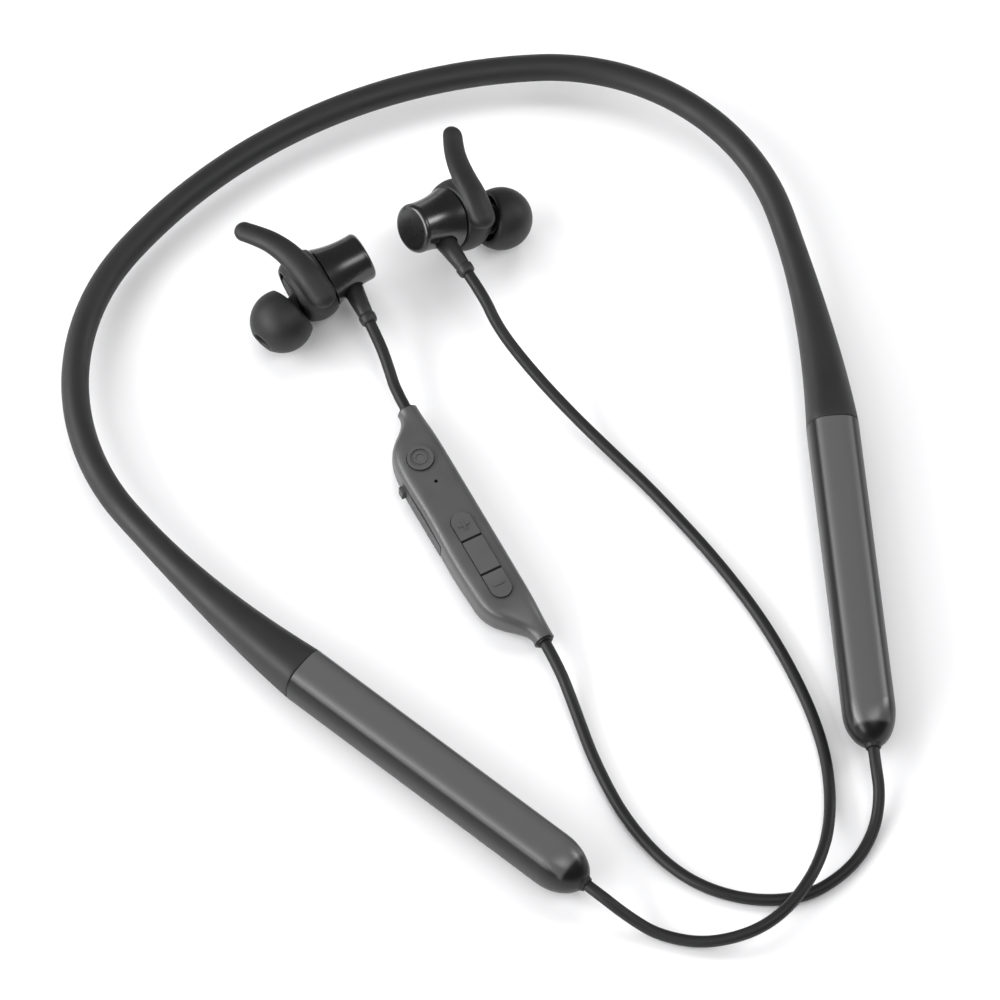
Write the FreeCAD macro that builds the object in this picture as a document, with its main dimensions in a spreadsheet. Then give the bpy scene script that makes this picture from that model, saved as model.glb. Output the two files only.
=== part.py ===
import FreeCAD, Part
import math
import os

import Sketcher
from FreeCAD import Placement, Rotation, Vector

# Neckband earphones lying on a flat surface. Millimetres, +Z up, symmetric neckband about X = 0,
# back of the neck towards +Y, pod tips towards -Y, origin under the middle of the neckband.

doc = FreeCAD.newDocument("neckband_earphones")
sheet = doc.addObject("Spreadsheet::Sheet", "dims")

DIMENSIONS = {
    # neckband
    "band_height": 5.3,          # height of the neckband's centre plane
    "band_radius": 2.6,
    "back_y": 82.1,              # centre line at the back of the neck
    "back_arc_radius": 106.0,
    "back_arc_turn": 24.4,
    "corner_arc_radius": 45.0,
    "corner_arc_turn": 76.8,
    "side_arc_radius": 233.0,
    "side_arc_turn": 11.6,
    "flare_length": 42.0,
    "memory_wire_radius": 0.5,
    "harness_radius": 0.65,
    "core_offset": 0.9,          # memory wire above and harness below the centre line
    "fit_gap": 0.05,
    # pods
    "pod_length": 66.4,
    "pod_half_width": 4.9,
    "pod_half_height": 5.25,
    "pod_power": 2.7,
    "pod_wall": 0.9,
    "pod_dome": 7.6,
    "seam_gap": 0.1,
    "carrier_start": 1.0,        # along the pod from its seam
    "carrier_low": -3.2,         # below the pod's axis
    "carrier_length": 52.0,
    "carrier_width": 6.2,
    "carrier_depth": 3.0,
    "carrier_wall": 0.7,
    "spigot_length": 9.0,
    "spigot_radius": 2.9,
    "spigot_bore": 2.1,
    "gland_radius": 1.6,
    "gland_length": 5.0,
    "gland_nose": 0.25,
    "battery_start": 14.0,
    "battery_length": 34.0,
    "battery_width": 4.6,
    "battery_depth": 3.6,
    "foam_depth": 0.6,
    "board_start": 10.0,
    "board_length": 40.0,
    "board_width": 4.6,
    "board_thickness": 0.8,
    "motor_radius": 1.6,
    "motor_length": 6.0,
    "motor_start": 30.5,         # along the board
    "ferrule_radius": 0.95,
    "ferrule_start": 3.4,
    "ferrule_length": 3.0,
    # cables
    "cable_radius": 1.1,
    "cable_grip": 6.0,           # cable held inside a grommet, gland or strain relief
    # inline remote
    "remote_x": -15.8,
    "remote_y": -8.4,
    "remote_length": 54.2,
    "remote_width": 10.3,
    "remote_depth": 7.4,
    "remote_wall": 0.9,
    "remote_split": 3.6,
    "remote_flat": 0.15,         # taken off the underside, which the remote lies on
    "collar_height": 3.5,
    "collar_x": 3.1,             # cable axis, to the side of the remote's middle
    "collar_radius": 2.0,
    "round_key_x": -0.4,
    "round_key_y": 15.3,
    "round_key_radius": 2.5,
    "dish_depth": 0.3,
    "dish_rim": 0.6,
    "keypad_x": 0.2,
    "keypad_y": -7.75,
    "keypad_length": 19.4,
    "keypad_width": 4.1,
    "key_groove": 0.5,
    "key_end_length": 5.6,
    "key_gap": 0.12,
    "key_proud": 0.45,
    "key_skirt": 1.5,
    "key_mark_length": 2.2,      # plus and minus signs, raised from the keys
    "key_mark_width": 0.4,
    "key_mark_height": 0.15,
    "key_travel": 0.3,
    "mic_y": 9.8,
    "mic_hole_radius": 0.35,
    "mic_radius": 1.0,
    "mic_x": 0.6,
    "mic_depth": 1.2,
    "port_y": 5.6,
    "port_length": 7.8,
    "port_depth": 2.6,
    "socket_length": 3.5,
    "flap_low_y": -2.0,
    "flap_length": 15.0,
    "flap_height": 3.6,
    "flap_thickness": 0.6,
    "flap_proud": 0.15,
    "tab_length": 1.4,
    "remote_board_length": 38.0,
    "remote_board_width": 6.4,
    "switch_radius": 1.3,
    "switch_height": 0.8,
    # earbuds
    "barrel_length": 8.8,
    "barrel_face_radius": 3.9,
    "barrel_rim_radius": 4.75,
    "barrel_front_radius": 5.9,
    "barrel_rim_width": 0.9,
    "barrel_waist_radius": 20.0,
    "barrel_wall": 0.8,
    "magnet_radius": 3.2,
    "magnet_thickness": 1.8,
    "front_radius": 5.1,
    "front_start": 8.9,
    "front_shoulder": 13.8,
    "front_end": 15.9,
    "front_wall": 0.8,
    "nozzle_root": 13.0,
    "nozzle_offset": 1.2,
    "nozzle_tilt": 17.0,
    "nozzle_radius": 2.2,
    "nozzle_bore": 1.6,
    "nozzle_length": 10.6,
    "mesh_thickness": 0.25,
    "driver_radius": 4.1,
    "driver_depth": 2.6,
    "driver_wall": 0.4,
    "driver_start": 9.6,
    "driver_chamfer": 0.6,
    "driver_magnet_radius": 2.4,
    "driver_magnet_thickness": 1.2,
    "wing_start": 9.2,
    "wing_end": 15.9,
    "wing_rear_radius": 6.2,
    "wing_front_radius": 5.3,
    "wing_bulge_radius": 5.4,
    "wing_horn_radius": 2.1,
    "tip_radius": 6.0,           # the dome is part of a sphere centred on the tip's axis
    "tip_centre": 7.4,
    "tip_rear_radius": 5.15,
    "tip_front_radius": 2.5,
    "tip_bore": 1.9,
    "tip_stem_radius": 3.0,
    "tip_skirt_wall": 0.8,
    "tip_skirt_depth": 5.2,
    "relief_position": 5.0,
    "relief_root": 3.4,
    "relief_end": 12.2,
    "relief_radius": 2.1,
    "relief_end_radius": 1.45,
    "relief_collar_radius": 1.65,
    "relief_collar_length": 1.8,
}
for row, (alias, number) in enumerate(DIMENSIONS.items(), start=1):
    sheet.set(f"A{row}", alias)
    sheet.set(f"B{row}", str(number))
    sheet.setAlias(f"B{row}", alias)
doc.recompute()

X_AXIS, Y_AXIS, Z_AXIS = Vector(1, 0, 0), Vector(0, 1, 0), Vector(0, 0, 1)
NODES = []
SECTION_POINTS = 24


def size(alias):
    """The number in the spreadsheet cell with this alias."""
    return float(sheet.get(alias))


def value(expression):
    """What an expression on the spreadsheet comes to."""
    return float(sheet.evalExpression(expression))


def bind(obj, **expressions):
    """Drive properties of obj from the spreadsheet."""
    for prop, expression in expressions.items():
        obj.setExpression(prop, expression)
    return obj


def node(obj, label):
    """Name obj as one exported sub-part."""
    obj.Label = label
    NODES.append(obj)
    return obj


def at(frame, x=0.0, y=0.0, z=0.0, rotation=None):
    """A placement inside a local frame."""
    return frame.multiply(Placement(Vector(x, y, z), rotation or Rotation()))


def turn(axis, degrees):
    return Rotation(axis, degrees)


def primitive(kind, name, placement, **expressions):
    obj = doc.addObject("Part::" + kind, name)
    obj.Placement = placement
    return bind(obj, **expressions)


def shaped(name, shape):
    """A sub-part whose shape comes from Part's own functions."""
    obj = doc.addObject("Part::Feature", name)
    obj.Shape = shape
    return obj


# --- turned pieces: a PartDesign body revolved about its own X axis -------------------------------

def sketch_arc(start, end, radius, side):
    """The arc of this radius between two corners; side +1 bulges away from the axis, -1 towards it.
    Sketcher arcs run anticlockwise, so the flag says whether it starts at the first corner."""
    middle, chord = (start + end) * 0.5, end - start
    outward = Vector(-chord.y, chord.x, 0).normalize()
    if outward.y < 0:
        outward = outward * -1
    centre = middle - outward * (side * math.sqrt(radius ** 2 - (chord.Length / 2) ** 2))
    first = math.atan2(start.y - centre.y, start.x - centre.x)
    last = math.atan2(end.y - centre.y, end.x - centre.x)
    forward = (last - first) % (2 * math.pi) < math.pi
    circle = Part.Circle(centre, Vector(0, 0, 1), radius)
    angles = (first, last) if forward else (last, first)
    return Part.ArcOfCircle(circle, angles[0], angles[1]), forward


def turned(label, outline, placement):
    """A body of revolution. outline: (along, radius) pairs of expressions; a third and fourth entry
    (radius expression, side) make the edge that leaves that corner an arc."""
    body = doc.addObject("PartDesign::Body", label + "_body")
    sketch = body.newObject("Sketcher::SketchObject", label + "_profile")
    plane = next(f for f in body.Origin.OriginFeatures if f.Role == "XY_Plane")
    sketch.AttachmentSupport = [(plane, "")]
    sketch.MapMode = "FlatFace"
    corners = [Vector(value(c[0]), value(c[1]), 0) for c in outline]
    count = len(outline)
    ends = []
    for i, corner in enumerate(outline):
        start, end = corners[i], corners[(i + 1) % count]
        if len(corner) > 2:
            arc, forward = sketch_arc(start, end, value(corner[2]), corner[3])
            geo = sketch.addGeometry(arc, False)
            ends.append((geo, 1, 2) if forward else (geo, 2, 1))
        else:
            ends.append((sketch.addGeometry(Part.LineSegment(start, end), False), 1, 2))
    for i in range(count):
        here, following = ends[i], ends[(i + 1) % count]
        sketch.addConstraint(Sketcher.Constraint("Coincident", here[0], here[2], following[0], following[1]))
    for i, corner in enumerate(outline):
        geo, first, _ = ends[i]
        for kind, expression, number in (("DistanceX", corner[0], corners[i].x),
                                         ("DistanceY", corner[1], corners[i].y)):
            index = sketch.addConstraint(Sketcher.Constraint(kind, -1, 1, geo, first, number))
            sketch.setExpression(f"Constraints[{index}]", expression)
        if len(corner) > 2:
            index = sketch.addConstraint(Sketcher.Constraint("Radius", geo, value(corner[2])))
            sketch.setExpression(f"Constraints[{index}]", corner[2])
    spin = body.newObject("PartDesign::Revolution", label + "_turned")
    spin.Profile = sketch
    spin.ReferenceAxis = (sketch, ["H_Axis"])
    spin.Angle = 360.0
    body.Placement = placement
    return body


# --- neckband centre line ------------------------------------------------------------------------

ARCS = [(size(f"{name}_arc_radius"), math.radians(size(f"{name}_arc_turn")))
        for name in ("back", "corner", "side")]
NECK_LENGTH = sum(radius * angle for radius, angle in ARCS)


def neck(distance, side=1):
    """Point and heading on the centre line, this far from the back, on the +X (1) or -X (-1) side."""
    point, heading = Vector(0, size("back_y"), 0), 0.0
    for radius, angle in ARCS:
        step = min(distance, radius * angle) / radius
        centre = point + Vector(math.sin(heading), -math.cos(heading), 0) * radius
        heading -= step
        point = centre - Vector(math.sin(heading), -math.cos(heading), 0) * radius
        distance -= radius * step
    direction = Vector(math.cos(heading), math.sin(heading), 0)
    return Vector(side * point.x, point.y, 0), Vector(side * direction.x, direction.y, 0)


def neck_edges(height, last):
    """Arc edges of the centre line's +X half, from the back to this distance, at a height."""
    edges, start = [], 0.0
    for radius, angle in ARCS:
        stop = min(start + radius * angle, last)
        if stop - start > 1e-6:
            points = [neck(s)[0] + Z_AXIS * height for s in (start, (start + stop) / 2, stop)]
            edges.append(Part.Arc(*points).toShape())
        start = stop
    return edges


def neck_rod(radius, height, last, tail=0.0, smooth=False):
    """The +X half of a round rod along the neckband, with a straight tail past its end. A smooth one
    has the flare's kind of section, so that the two join on one curve."""
    edges = neck_edges(height, last)
    if tail:
        point, heading = neck(last)
        start = point + Z_AXIS * height
        edges.append(Part.LineSegment(start, start + heading * tail).toShape())
    first = Vector(0, size("back_y"), height)
    section = Part.Wire(Part.Circle(first, X_AXIS, radius).toShape())
    if smooth:
        section = superellipse(radius, radius, 2, Placement(first, Rotation()))
    return Part.Wire(edges).makePipeShell([section], True, False)


def both_halves(half):
    """One solid from the +X half of something symmetric about the YZ plane."""
    return half.fuse(half.mirror(Vector(), X_AXIS))


def pod_frame(side):
    """Local frame of a pod: X towards the tip, Y sideways, Z up, origin at the seam."""
    point, heading = neck(NECK_LENGTH, side)
    angle = math.degrees(math.atan2(heading.y, heading.x))
    return Placement(point + Z_AXIS * size("band_height"), turn(Z_AXIS, angle))


def superellipse(half_width, half_height, power, place=None):
    """A closed smooth section across local X, through points of a superellipse."""
    points = []
    for i in range(SECTION_POINTS):
        angle = 2 * math.pi * i / SECTION_POINTS
        across, upward = math.cos(angle), math.sin(angle)
        points.append(Vector(0, half_width * math.copysign(abs(across) ** (2 / power), across),
                             half_height * math.copysign(abs(upward) ** (2 / power), upward)))
    curve = Part.BSplineCurve()
    curve.interpolate(Points=points, PeriodicFlag=True)
    section = Part.Wire(curve.toShape())
    section.Placement = place or Placement()
    return section


def pod_section(inset, x, scale=1.0, power=None):
    """The pod's section at x, scaled towards its axis."""
    return superellipse((size("pod_half_width") - inset) * scale, (size("pod_half_height") - inset) * scale,
                        power or size("pod_power"), Placement(Vector(x, 0, 0), Rotation()))


def pod_solid(inset):
    """The pod's outer form, or its cavity when inset by the wall: a squared tube with a domed end."""
    length, dome = size("pod_length") - inset, size("pod_dome")
    straight = length - dome
    prism = Part.Face(pod_section(inset, 0.0)).extrude(X_AXIS * straight)
    sections = [pod_section(inset, straight)]
    for share in (0.25, 0.5, 0.7, 0.85, 0.95, 0.99):
        rounder = 2 + (size("pod_power") - 2) * (1 - share)
        sections.append(pod_section(inset, straight + dome * share, math.sqrt(1 - share ** 2), rounder))
    return prism.fuse(Part.makeLoft(sections, True, False))


SEAM = NECK_LENGTH
SLEEVE_END = NECK_LENGTH - size("seam_gap")
FLARE = size("flare_length")


def flare():
    """The sleeve's +X end, growing from the band's round section to the pod's squared one."""
    sections = []
    for i in range(8):
        share = i / 7
        grown = share ** 1.55 * (1.0 + 0.3 * share * (1 - share))
        across = size("band_radius") + (size("pod_half_width") - size("band_radius")) * grown
        upward = size("band_radius") + (size("pod_half_height") - size("band_radius")) * grown
        point, heading = neck(SLEEVE_END - FLARE + FLARE * share)
        angle = math.degrees(math.atan2(heading.y, heading.x))
        place = Placement(point + Z_AXIS * size("band_height"), turn(Z_AXIS, angle))
        sections.append(superellipse(across, upward, 2 + (size("pod_power") - 2) * grown, place))
    return Part.makeLoft(sections, True, False)


def neckband():
    """Silicone sleeve, memory wire and wiring harness: single pieces that run from pod to pod."""
    height, offset, gap = size("band_height"), size("core_offset"), size("fit_gap")
    wire_radius, harness_radius = size("memory_wire_radius"), size("harness_radius")
    half = neck_rod(size("band_radius"), height, SLEEVE_END - FLARE, smooth=True).fuse(flare())
    socket = Part.makeCylinder(size("spigot_radius") + 2 * gap, size("spigot_length") + 1.0,
                               Vector(-size("spigot_length") - 1.0, 0, 0), X_AXIS)
    socket.Placement = pod_frame(1)
    half = half.cut(socket)
    half = half.cut(neck_rod(wire_radius + gap, height + offset, SLEEVE_END))
    half = half.cut(neck_rod(harness_radius + gap, height - offset, SLEEVE_END))
    node(shaped("band_sleeve", both_halves(half)), "band_sleeve")
    wire = neck_rod(wire_radius, height + offset, SEAM, 7.0)
    node(shaped("memory_wire", both_halves(wire)), "memory_wire")
    harness = neck_rod(harness_radius, height - offset, SEAM, 4.0)
    node(shaped("band_harness", both_halves(harness)), "band_harness")


# --- pods ----------------------------------------------------------------------------------------

def pod(side, name):
    """One pod: shell, carrier, end gland and the ferrule that holds the memory wire."""
    frame = pod_frame(side)
    shell = pod_solid(0.0).cut(pod_solid(size("pod_wall")))
    shell = shell.cut(Part.makeCylinder(size("gland_radius") + size("fit_gap"), 12.0,
                                        Vector(size("pod_length") - 6.0, 0, 0), X_AXIS))
    shell_part = node(shaped(name + "_pod_shell", shell), name + "_pod_shell")
    shell_part.Placement = frame

    tray = primitive("Box", name + "_tray", at(frame, size("carrier_start"), -size("carrier_width") / 2,
                                                   size("carrier_low")),
                     Length="dims.carrier_length", Width="dims.carrier_width",
                     Height="dims.carrier_depth")
    pocket = primitive("Box", name + "_tray_pocket",
                       at(frame, size("carrier_start") + 2.0,
                          size("carrier_wall") - size("carrier_width") / 2,
                          size("carrier_low") + size("carrier_wall")),
                       Length="dims.carrier_length - 3", Width="dims.carrier_width - 2 * dims.carrier_wall",
                       Height="dims.carrier_depth")
    hollow_tray = doc.addObject("Part::Cut", name + "_hollow_tray")
    hollow_tray.Base, hollow_tray.Tool = tray, pocket
    spigot = primitive("Cylinder", name + "_spigot",
                       at(frame, -size("spigot_length"), 0, 0, turn(Y_AXIS, 90)),
                       Radius="dims.spigot_radius", Height="dims.spigot_length + 2.6")
    plugged = doc.addObject("Part::MultiFuse", name + "_plugged_tray")
    plugged.Shapes = [hollow_tray, spigot]
    bore = primitive("Cylinder", name + "_spigot_bore",
                     at(frame, -size("spigot_length") - 1, 0, 0, turn(Y_AXIS, 90)),
                     Radius="dims.spigot_bore", Height="dims.spigot_length + 6")
    carrier = doc.addObject("Part::Cut", name + "_pod_carrier")
    carrier.Base, carrier.Tool = plugged, bore
    node(carrier, name + "_pod_carrier")

    gland_start = "dims.pod_length - dims.gland_length + dims.gland_nose"
    gland_stop = "dims.pod_length + dims.gland_nose"
    node(turned(name + "_cable_gland", [
        (gland_start, "dims.cable_radius + dims.fit_gap"),
        (gland_start, "dims.gland_radius + 0.7"),
        (gland_start + " + 1.2", "dims.gland_radius + 0.7"),
        (gland_start + " + 1.2", "dims.gland_radius"),
        ("dims.pod_length - 0.4", "dims.gland_radius"),
        (gland_stop, "dims.gland_radius - 0.2"),
        (gland_stop, "dims.cable_radius + dims.fit_gap"),
    ], frame), name + "_cable_gland")

    node(turned(name + "_wire_ferrule", [
        ("dims.ferrule_start", "dims.memory_wire_radius + dims.fit_gap"),
        ("dims.ferrule_start", "dims.ferrule_radius"),
        ("dims.ferrule_start + dims.ferrule_length", "dims.ferrule_radius"),
        ("dims.ferrule_start + dims.ferrule_length", "dims.memory_wire_radius + dims.fit_gap"),
    ], at(frame, 0, 0, size("core_offset"))), name + "_wire_ferrule")


def battery():
    """The cell and its foam, in the left pod's carrier."""
    frame = at(pod_frame(-1), size("battery_start"), 0, size("carrier_low") + size("carrier_wall"))
    cell = primitive("Box", "cell_block", at(frame, 0, -size("battery_width") / 2, 0.02),
                     Length="dims.battery_length", Width="dims.battery_width",
                     Height="dims.battery_depth")
    doc.recompute()
    rounded = doc.addObject("Part::Fillet", "battery_cell")
    rounded.Base = cell
    long_edges = [i for i, e in enumerate(cell.Shape.Edges, start=1)
                  if abs(e.Length - size("battery_length")) < 1e-6]
    rounded.Edges = [(i, 0.9, 0.9) for i in long_edges]
    node(rounded, "battery_cell")
    pad = primitive("Box", "battery_foam",
                    at(frame, 4.0, -size("battery_width") / 2 + 0.6, size("battery_depth") + 0.06),
                    Length="dims.battery_length - 8", Width="dims.battery_width - 1.2",
                    Height="dims.foam_depth")
    node(pad, "battery_foam")


CHIPS = ((4.0, 0.0, 4.0, 3.4, 0.9), (11.0, 0.6, 3.0, 2.4, 0.8),      # x, y, length, width, height
         (17.0, -0.4, 5.0, 3.0, 1.0), (24.0, 0.0, 2.0, 2.0, 0.7))


def electronics():
    """Main board with its chips and the vibration motor, in the right pod's carrier."""
    sunk = 0.6
    frame = at(pod_frame(1), size("board_start"), 0, size("carrier_low") + size("carrier_depth") - sunk)
    board = doc.addObject("PartDesign::Body", "main_board_body")
    sketch = board.newObject("Sketcher::SketchObject", "main_board_outline")
    sketch.AttachmentSupport = [(next(f for f in board.Origin.OriginFeatures if f.Role == "XY_Plane"), "")]
    sketch.MapMode = "FlatFace"
    long, half = size("board_length"), size("board_width") / 2
    corners = [Vector(0, -half, 0), Vector(long, -half, 0), Vector(long, half, 0), Vector(0, half, 0)]
    for i in range(4):
        sketch.addGeometry(Part.LineSegment(corners[i], corners[(i + 1) % 4]), False)
    for i in range(4):
        sketch.addConstraint(Sketcher.Constraint("Coincident", i, 2, (i + 1) % 4, 1))
    for i, kind in enumerate(("Horizontal", "Vertical", "Horizontal", "Vertical")):
        sketch.addConstraint(Sketcher.Constraint(kind, i))
    sketch.addConstraint(Sketcher.Constraint("DistanceY", 0, 1, -1, 1, half))
    sketch.setExpression(f"Constraints[{sketch.ConstraintCount - 1}]", "dims.board_width / 2")
    sketch.addConstraint(Sketcher.Constraint("PointOnObject", 0, 1, -2))
    sketch.addConstraint(Sketcher.Constraint("DistanceX", 0, 1, 0, 2, long))
    sketch.setExpression(f"Constraints[{sketch.ConstraintCount - 1}]", "dims.board_length")
    sketch.addConstraint(Sketcher.Constraint("DistanceY", 1, 1, 1, 2, 2 * half))
    sketch.setExpression(f"Constraints[{sketch.ConstraintCount - 1}]", "dims.board_width")
    pad = board.newObject("PartDesign::Pad", "main_board_pad")
    pad.Profile = sketch
    pad.setExpression("Length", "dims.board_thickness")
    board.Placement = frame
    node(board, "main_board")

    chips = [Part.makeBox(length, width, height, Vector(x, y - width / 2, size("board_thickness") + 0.01))
             for x, y, length, width, height in CHIPS]
    chip_part = node(shaped("main_board_chips", Part.makeCompound(chips)), "main_board_chips")
    chip_part.Placement = frame

    motor = primitive("Cylinder", "vibration_motor",
                      at(frame, size("motor_start"), 0, size("board_thickness") + size("motor_radius") + 0.02,
                         turn(Y_AXIS, 90)),
                      Radius="dims.motor_radius", Height="dims.motor_length")
    node(motor, "vibration_motor")


# --- inline remote -------------------------------------------------------------------------------

REMOTE = Placement(Vector(size("remote_x"), size("remote_y"), -size("remote_flat")), Rotation())
TOP = size("remote_depth")


def remote_solid(inset):
    """The remote's outer form, or its cavity: sections along Y, straight on +X, shouldered on -X."""
    half = size("remote_length") / 2
    width, depth = size("remote_width"), size("remote_depth")
    neck_width, neck_depth = 2 * size("collar_radius"), 2 * size("collar_radius")
    axis_height = size("collar_height")
    shares = [(half, 0.0), (half - 2.2, 0.08), (half - 4.4, 0.38), (half - 6.8, 0.74),
              (half - 10.5, 0.96), (half - 16.0, 1.0), (0.0, 1.0), (-half + 15.0, 1.0), (-half + 9.5, 0.9),
              (-half + 5.6, 0.5), (-half + 2.4, 0.06), (-half, 0.0)]
    if inset:
        shares = shares[1:-1]
    sections = []
    for y, grown in shares:
        wide = neck_width + (width - neck_width) * grown
        deep = neck_depth + (depth - neck_depth) * grown
        low = (axis_height - neck_depth / 2) * (1 - grown)
        right = width / 2 - 0.05
        centre = Vector(right - wide / 2, y, low + deep / 2)
        sections.append(superellipse(wide / 2 - inset, deep / 2 - inset, 2.1 + 2.2 * grown,
                                     Placement(centre, turn(Z_AXIS, 90))))
    return Part.makeLoft(sections, True, False)


def pill(length, width, low, high, x=0.0, y=0.0):
    """A stadium standing on its end, long along Y."""
    half, radius = length / 2 - width / 2, width / 2
    sides = [Part.LineSegment(Vector(x + radius, y - half, low), Vector(x + radius, y + half, low)),
             Part.Arc(Vector(x + radius, y + half, low), Vector(x, y + half + radius, low),
                      Vector(x - radius, y + half, low)),
             Part.LineSegment(Vector(x - radius, y + half, low), Vector(x - radius, y - half, low)),
             Part.Arc(Vector(x - radius, y - half, low), Vector(x, y - half - radius, low),
                      Vector(x + radius, y - half, low))]
    return Part.Face(Part.Wire([s.toShape() for s in sides])).extrude(Z_AXIS * (high - low))


def key_span(index):
    """Low and high Y of keypad key 0 (minus end), 1 (middle) or 2 (plus end)."""
    half, end, groove = size("keypad_length") / 2, size("key_end_length"), size("key_groove")
    stops = [(-half, -half + end), (-half + end + groove, half - end - groove), (half - end, half)]
    low, high = stops[index]
    return size("keypad_y") + low, size("keypad_y") + high


def remote_housing():
    """Top and bottom shells, with the openings for keys, microphone and charging port."""
    split, wall = size("remote_split"), size("remote_wall")
    hull = remote_solid(0.0).cut(remote_solid(wall))
    for end in (1, -1):
        start = Vector(size("collar_x"), end * (size("remote_length") / 2 + 1), size("collar_height"))
        hull = hull.cut(Part.makeCylinder(size("cable_radius") + 0.5 + size("fit_gap"), 14.0, start,
                                          Y_AXIS * -end))
    around = 2 * size("key_gap")
    keypad_hole = pill(size("keypad_length") + around, size("keypad_width") + around,
                       split, TOP + 2, size("keypad_x"), size("keypad_y"))
    round_hole = Part.makeCylinder(size("round_key_radius") + size("key_gap"), TOP,
                                   Vector(size("round_key_x"), size("round_key_y"), split))
    mic_hole = Part.makeCylinder(size("mic_hole_radius"), TOP, Vector(0, size("mic_y"), split))
    port = Part.makeBox(3.0, size("port_length"), size("port_depth"),
                        Vector(-size("remote_width") / 2 - 1.0, size("port_y") - size("port_length") / 2,
                               split - size("port_depth") / 2))
    seat_gap = 0.15
    flap_seat = Part.makeBox(1.5, size("flap_length") + 2 * seat_gap, size("flap_height") + 2 * seat_gap,
                             Vector(-size("remote_width") / 2 - 1.0, size("flap_low_y") - seat_gap,
                                    split - size("flap_height") / 2 - seat_gap))
    hull = hull.cut(port).cut(flap_seat)
    upper = Part.makeBox(40, 80, 20, Vector(-20, -40, split + 0.02))
    lower = Part.makeBox(40, 80, split - 0.02 - size("remote_flat"), Vector(-20, -40, size("remote_flat")))
    top = hull.common(upper).cut(keypad_hole).cut(round_hole).cut(mic_hole)
    for label, shape in (("remote_top_shell", top), ("remote_bottom_shell", hull.common(lower))):
        node(shaped(label, shape), label).Placement = REMOTE


def key_mark(wide, long, middle, top):
    """One bar of a plus or minus sign, sunk into its key by as much as it stands out."""
    height = 2 * size("key_mark_height")
    return Part.makeBox(wide, long, height, Vector(middle.x - wide / 2, middle.y - long / 2, top - height))


def remote_keys():
    """Round key, dished with a raised ring, and the keypad's three keys; their skirts reach down
    through the shell to the switches."""
    top = TOP + size("key_proud")
    skirt_low = TOP - size("remote_wall") - size("key_skirt") + size("key_travel")
    radius, ring_width = size("round_key_radius"), 0.35
    centre = Vector(size("round_key_x"), size("round_key_y"), skirt_low)
    dish_floor = Vector(centre.x, centre.y, top - size("dish_depth"))
    dish = Part.makeCylinder(radius - size("dish_rim"), size("dish_depth"), dish_floor)
    ring = Part.makeCylinder(radius / 2, size("key_mark_height"), dish_floor)
    ring = ring.cut(Part.makeCylinder(radius / 2 - ring_width, size("key_mark_height"), dish_floor))
    round_key = Part.makeCylinder(radius, top - skirt_low, centre).cut(dish).fuse(ring)
    node(shaped("round_key", round_key), "round_key").Placement = REMOTE

    face = top - size("key_mark_height")
    stadium = pill(size("keypad_length"), size("keypad_width"), skirt_low, face,
                   size("keypad_x"), size("keypad_y"))
    for index, label in enumerate(("volume_down_key", "play_key", "volume_up_key")):
        low, high = key_span(index)
        key = stadium.common(Part.makeBox(20, high - low, 20, Vector(-10, low, 0)))
        middle = Vector(size("keypad_x"), (low + high) / 2, 0)
        if label != "play_key":
            key = key.fuse(key_mark(size("key_mark_length"), size("key_mark_width"), middle, top))
        if label == "volume_up_key":
            key = key.fuse(key_mark(size("key_mark_width"), size("key_mark_length"), middle, top))
        node(shaped(label, key.removeSplitter()), label).Placement = REMOTE


def remote_inside():
    """Board, tact switches, microphone, charging socket and the grommets that grip the cable."""
    key_clearance = 0.15
    board_top = TOP - size("remote_wall") - size("key_skirt") - key_clearance - size("switch_height")
    length, width = size("remote_board_length"), size("remote_board_width")
    face, split = -size("remote_width") / 2, size("remote_split")
    board = Part.makeBox(width, length, 0.8, Vector(-width / 2 + 0.2, -length / 2, board_top - 0.8))
    notch = Part.makeBox(6.0, size("port_length") + 0.2, 3.0,
                         Vector(face + 1.1 + size("socket_length") - 5.9,
                                size("port_y") - size("port_length") / 2 - 0.1, board_top - 2.0))
    board = board.cut(notch).common(remote_solid(size("remote_wall") + 0.2))
    node(shaped("remote_board", board), "remote_board").Placement = REMOTE
    places = [size("round_key_y")] + [sum(key_span(i)) / 2 for i in range(3)]
    switches = [Part.makeCylinder(size("switch_radius"), size("switch_height") - 0.02,
                                  Vector(0, y, board_top + 0.01)) for y in places]
    node(shaped("tact_switches", Part.makeCompound(switches)), "tact_switches").Placement = REMOTE
    mic = primitive("Cylinder", "mic_capsule", at(REMOTE, size("mic_x"), size("mic_y"), board_top + 0.02),
                    Radius="dims.mic_radius", Height="dims.mic_depth")
    node(mic, "mic_capsule")

    wide, depth = size("port_length") - 0.3, size("port_depth") - 0.3
    socket = Part.makeBox(size("socket_length"), wide, depth,
                          Vector(face + 1.05, size("port_y") - wide / 2, split - depth / 2))
    mouth = Part.makeBox(size("socket_length"), wide - 0.7, depth - 0.6,
                         Vector(face + 0.35, size("port_y") - wide / 2 + 0.35, split - depth / 2 + 0.3))
    node(shaped("charging_socket", socket.cut(mouth)), "charging_socket").Placement = REMOTE

    for end, label in ((1, "remote_upper_grommet"), (-1, "remote_lower_grommet")):
        grommet = turned(label, [
            ("-dims.cable_grip", "dims.cable_radius + dims.fit_gap"),
            ("-dims.cable_grip", "dims.cable_radius + 0.5"),
            ("0.4", "dims.cable_radius + 0.5"),
            ("0.4", "dims.cable_radius + dims.fit_gap"),
        ], at(REMOTE, size("collar_x"), end * size("remote_length") / 2, size("collar_height"),
              turn(Z_AXIS, 90 * end)))
        node(grommet, label)


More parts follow.
